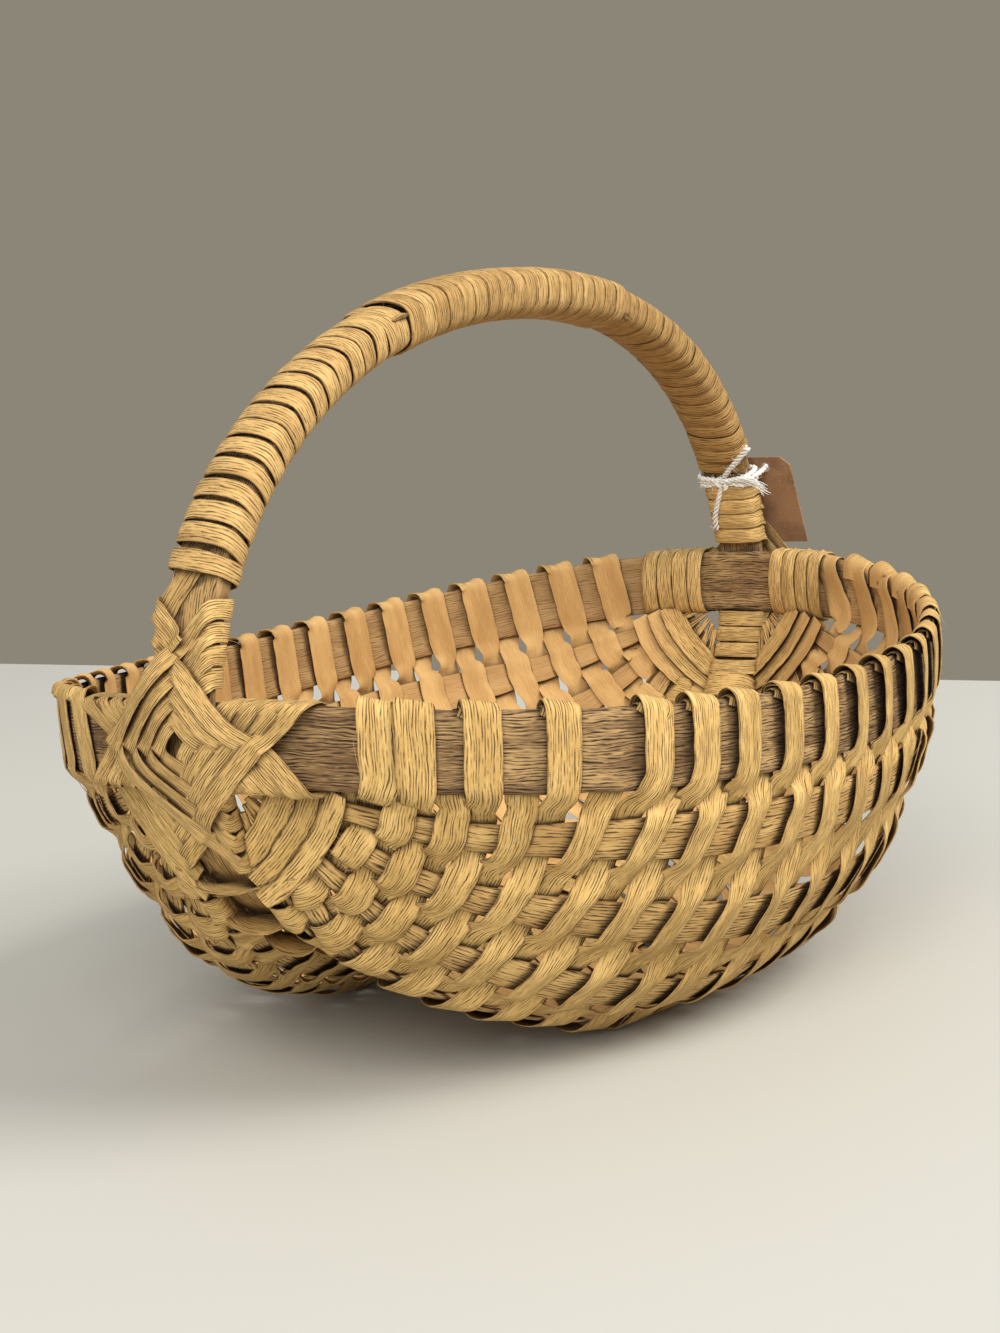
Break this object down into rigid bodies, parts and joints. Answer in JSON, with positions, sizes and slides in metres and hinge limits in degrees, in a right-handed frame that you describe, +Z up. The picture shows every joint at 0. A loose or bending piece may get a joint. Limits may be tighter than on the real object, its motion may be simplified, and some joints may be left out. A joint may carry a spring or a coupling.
{
  "type": "buttocks basket",
  "caption": "Double-lobed rib basket of woven bark strips with a wrapped hoop handle, lashed eyes and a small blank tag tied to the handle.",
  "frame": {"origin": "middle of the basket in plan, at the level of the flat strip faces that it stands on", "axes": "+Z up, X along the plane of the handle from eye to eye with the tag at +X, Y across the handle from lobe to lobe"},
  "size_m": [0.3995, 0.2896, 0.2627],
  "materials": {
    "weaver_bark": "matt bark strip",
    "rib_bark": "matt bark strip",
    "rim_bark": "rough brown bark",
    "handle_wood": "matt split wood",
    "lashing_bark": "matt bark strip",
    "white_twine": "fuzzy cotton twine",
    "tag_card": "plain matt card"
  },
  "bodies": {
    "basket": {"rim_hoop": "rim_bark", "handle_hoop": "handle_wood", "rib_near_1": "rib_bark", "rib_near_2": "rib_bark", "rib_near_3": "rib_bark", "rib_near_4": "rib_bark", "rib_near_5": "rib_bark", "rib_far_1": "rib_bark", "rib_far_2": "rib_bark", "rib_far_3": "rib_bark", "rib_far_4": "rib_bark", "rib_far_5": "rib_bark", "weaver_01": "weaver_bark", "weaver_02": "weaver_bark", "weaver_03": "weaver_bark", "weaver_04": "weaver_bark", "weaver_05": "weaver_bark", "weaver_06": "weaver_bark", "weaver_07": "weaver_bark", "weaver_08": "weaver_bark", "weaver_09": "weaver_bark", "weaver_10": "weaver_bark", "weaver_11": "weaver_bark", "weaver_12": "weaver_bark", "weaver_13": "weaver_bark", "weaver_14": "weaver_bark", "weaver_15": "weaver_bark", "weaver_16": "weaver_bark", "weaver_17": "weaver_bark", "weaver_18": "weaver_bark", "weaver_19": "weaver_bark", "weaver_20": "weaver_bark", "eye_lashing_left": "lashing_bark", "eye_lashing_right": "lashing_bark", "handle_winding_left": "lashing_bark", "handle_winding_grip": "lashing_bark", "handle_winding_right": "lashing_bark", "tag_string": "white_twine", "tag_string_knot": "white_twine", "tag_string_tail_up": "white_twine", "tag_string_tail_down": "white_twine"},
    "tag": {"tag": "tag_card"}
  },
  "joints": [
    {"name": "tag_swing", "type": "hinge", "parent": "basket", "child": "tag", "pos_m": [0.18833, -0.014, 0.17605], "axis": [0.9252, 0, 0.3794], "range_deg": [-40, 40]}
  ]
}
